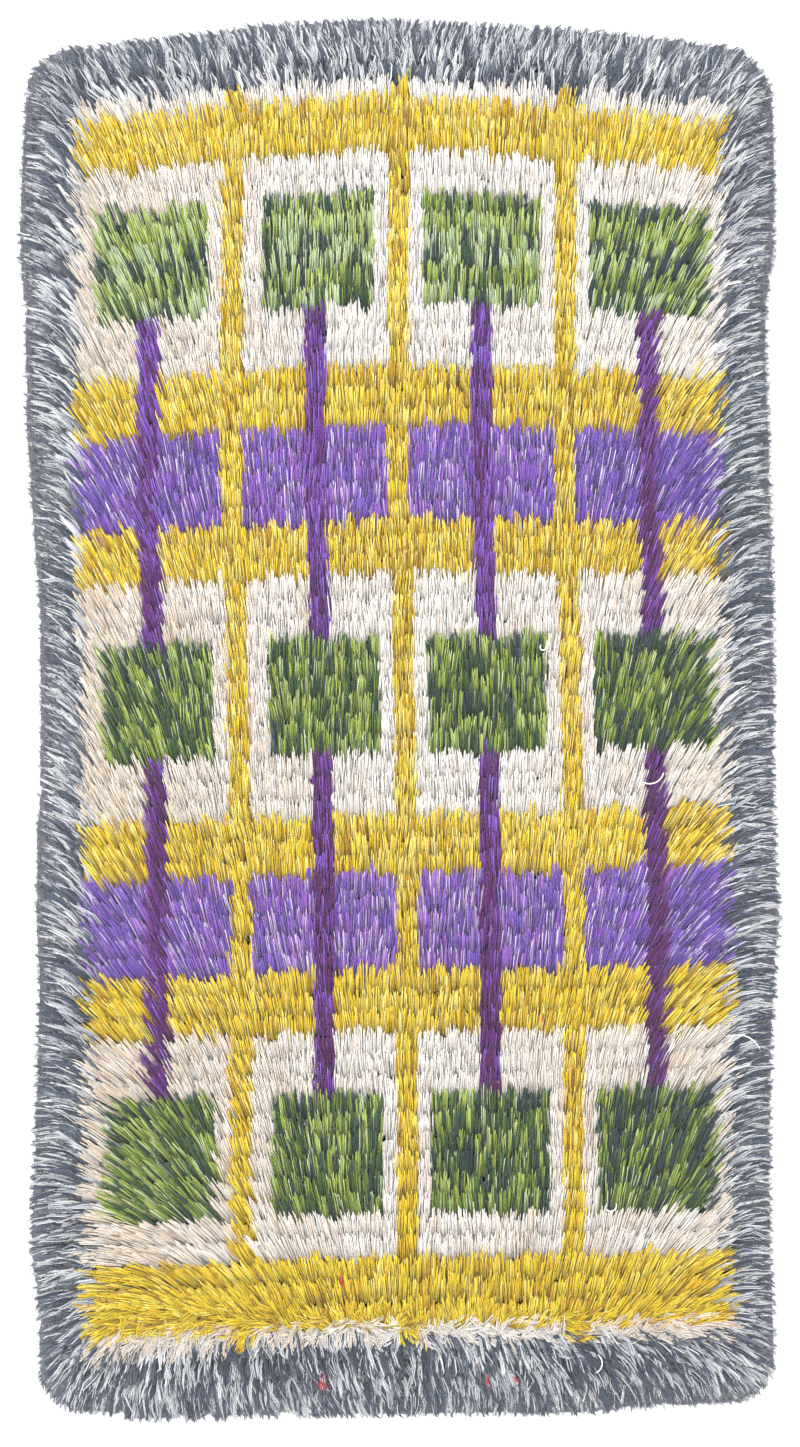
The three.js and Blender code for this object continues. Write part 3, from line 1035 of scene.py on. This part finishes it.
def ground_piece():
    """The ground weave: a thin closed cloth of one face a knot on either side, tinted by its wool's darkest
    colour as painted shade under the pile.
    """
    across = np.arange(-HALF_WIDTH, HALF_WIDTH, KNOT_PITCH).size
    along = np.arange(-HALF_LENGTH, HALF_LENGTH, ROW_PITCH).size
    grid_a, grid_b = np.meshgrid(np.linspace(-1, 1, across), np.linspace(-1, 1, along))
    x, y = on_ground(grid_a.ravel(), grid_b.ravel())
    top = np.stack([x, y, np.full(x.size, GROUND_THICKNESS)], axis=1)
    under = np.stack([x, y, np.zeros(x.size)], axis=1)
    quad, wall = ground_faces(across, along)
    faces = np.concatenate([quad, quad[:, ::-1] + x.size, wall])
    points = np.concatenate([top, under]) * MM
    points[:, 0] += CENTRING["x"] * MM
    points[:, 1] += CENTRING["y"] * MM
    mesh = bpy.data.meshes.new("ground_weave")
    mesh.from_pydata(points.tolist(), [], faces.tolist())
    mesh.update()
    u, v = from_rug(x[quad].mean(axis=1), y[quad].mean(axis=1))
    rows = row_middles()
    nearest = np.abs(v[:, None] - column(rows, "v")).argmin(axis=1)
    wool = chart(u, column(rows, "band").astype(int)[nearest])
    # Painted shade: the ground takes each wool's darkest colour, as if it lay in shade under the pile.
    painted_shade_tints = np.array([srgb(*PALETTES[name][0][1]) for name in WOOLS])
    edge = np.tile(painted_shade_tints[WOOLS.index("slate")], (len(wall), 1))
    colors = np.concatenate([painted_shade_tints[wool], painted_shade_tints[wool], edge])
    attribute = mesh.attributes.new("knot_color_in_painted_shade", "FLOAT_COLOR", "FACE")
    attribute.data.foreach_set("color", colors.astype(np.float32).ravel())
    return add_object("ground_weave", mesh)


def on_ground(a, b):
    """The square from -1 to 1, carried to the ground weave's outline with its rounded corners."""
    u, v = round_square(a, b)
    x, y = np.zeros_like(u), np.zeros_like(v)
    for _ in range(STEPS):
        left = eased(SIDES, "y", "left", y) + GROUND_INSET
        right = eased(SIDES, "y", "right", y) - GROUND_INSET
        bottom = eased(ENDS, "x", "bottom", x) + GROUND_INSET
        top = eased(ENDS, "x", "top", x) - GROUND_INSET
        x = left + (right - left) * (u + 1) / 2
        y = bottom + (top - bottom) * (v + 1) / 2
    return x, y


def round_square(a, b):
    """Pulls the corners of the square from -1 to 1 in to an arc."""
    radius = CORNER_RADIUS - GROUND_INSET / 2
    cut = (1 - 1 / math.sqrt(2)) * radius
    corner = np.abs(a) ** CORNER_POWER["across"] * np.abs(b) ** CORNER_POWER["along"]
    return a * (1 - corner * cut / HALF_WIDTH), b * (1 - corner * cut / HALF_LENGTH)


def from_rug(x, y):
    """The cloth's own grid at a place on the rug."""
    u, v = x.copy(), y.copy()
    for _ in range(STEPS):
        ahead_x, ahead_y = to_rug(u, v)
        u, v = u + x - ahead_x, v + y - ahead_y
    return u, v


def ground_material():
    """Wool weft packed over the knots: fine ribs across the rug and a row for every row of knots."""
    m = Nodes("ground_weave")
    tint = m.add("ShaderNodeAttribute", attribute_name="knot_color_in_painted_shade")
    place = m.place()
    x, y, _ = m.split(place)
    ribs = m.math("SINE", m.math("MULTIPLY", y, 2 * math.pi / (WEAVE["rib"] * ROW_PITCH * MM)))
    warps = m.math("SINE", m.math("MULTIPLY", x, 2 * math.pi / (WEAVE["warp"] * KNOT_PITCH * MM)))
    woven = m.math("MULTIPLY", ribs, warps)
    grain = m.noise(place, WEAVE["grain_scale"])
    # Painted shade: the whole ground is darkened, besides its woven ribs and grain.
    amount = m.math("MULTIPLY_ADD", woven, WEAVE["woven"], WEAVE["base"])
    amount = m.math("ADD", amount, m.math("MULTIPLY", grain, WEAVE["grain"]))
    m.link(m.scaled(tint.outputs["Color"], amount), m.shader.inputs["Base Color"])
    m.bump(m.math("ADD", woven, grain), WEAVE["bump"], WEAVE["bump_height"])
    m.set(WEAVE_SURFACE)
    return m.material


def build_rug():
    """The ground weave and the pile on it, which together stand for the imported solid."""
    k = knots()
    at_border = k["wool"] == WOOLS.index("slate")
    field = {name: value[~at_border] for name, value in k.items()}
    border = {name: value[at_border] for name, value in k.items()}
    lots = [
        (STRAND, strands(STRAND, field), CELL_ROWS["strands"]),
        (BORDER_STRAND, strands(BORDER_STRAND, border), CELL_ROWS["strands"]),
        (BODY, bodies(k), CELL_ROWS["bodies"]),
        (LOOSE_YARN, loose_yarns(), CELL_ROWS["loose"]),
    ]
    piles = []
    for index, name in enumerate(WOOLS):
        chosen = [np.flatnonzero(s["wool"] == index) for _, s, _ in lots]
        chosen = [some[np.argsort(s["y"][some], kind="stable")] for some, (_, s, _) in zip(chosen, lots)]
        triangles = sum(some.size * triangles_of(form) for some, (form, _, _) in zip(chosen, lots))
        pieces = math.ceil(triangles / TRIANGLES_IN_A_PIECE)
        material = wool_material(f"wool_{name}", PALETTES[name], SHADES[name])
        for number in range(pieces):
            split = [np.array_split(some, pieces)[number] for some in chosen]
            parts = [tubes(form, s, some, cells) for (form, s, cells), some in zip(lots, split) if some.size]
            piece = pile_piece(f"pile_{name}_{number + 1}", parts)
            piece.data.materials.append(material)
            piles.append(piece)
    ground = ground_piece()
    ground.data.materials.append(ground_material())
    for piece in [ground, *piles]:
        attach(piece, "root")
        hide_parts("pile_rug")


def triangles_of(form):
    return sum(len(face) - 2 for face in tube_faces(form))


def build_stage():
    """A plain pale floor."""
    mesh = bpy.data.meshes.new("floor")
    half, level = FLOOR["half"], FLOOR["level"]
    corners = [(-half, -half, level), (half, -half, level), (half, half, level), (-half, half, level)]
    mesh.from_pydata(corners, [], [(0, 1, 2, 3)])
    floor = add_object("floor", mesh)
    m = Nodes("floor")
    m.set(FLOOR_SURFACE)
    mesh.materials.append(m.material)


def build_lights():
    """An even white sky and one soft lamp that looks at the rug's middle."""
    world = bpy.data.worlds.new("studio")
    world.use_nodes = True
    background = world.node_tree.nodes["Background"]
    background.inputs["Color"].default_value = WHITE
    background.inputs["Strength"].default_value = SKY_STRENGTH
    bpy.context.scene.world = world
    data = bpy.data.lights.new("key", "AREA")
    data.shape = "DISK"
    data.size = KEY_LIGHT["size"]
    data.energy = KEY_LIGHT["power"]
    light = add_object("key", data)
    light.location = KEY_LIGHT["place"]
    light.rotation_mode = "QUATERNION"
    light.rotation_quaternion = (-light.location).to_track_quat("-Z", "Y")


def build_camera():
    """Straight above, at the photograph's framing."""
    data = bpy.data.cameras.new("camera")
    data.lens = CAMERA["lens"]
    data.sensor_width = CAMERA["sensor"]
    data.clip_end = CAMERA["clip_end"]
    camera = add_object("camera", data)
    height = IN_VIEW["level"] + IN_VIEW["height"] * CAMERA["lens"] / CAMERA["sensor"]
    camera.location = (CAMERA["x"], CAMERA["y"], height)
    bpy.context.scene.camera = camera


def main():
    bpy.context.scene.view_settings.view_transform = "Standard"
    build_rug()
    build_stage()
    build_lights()
    build_camera()


main()
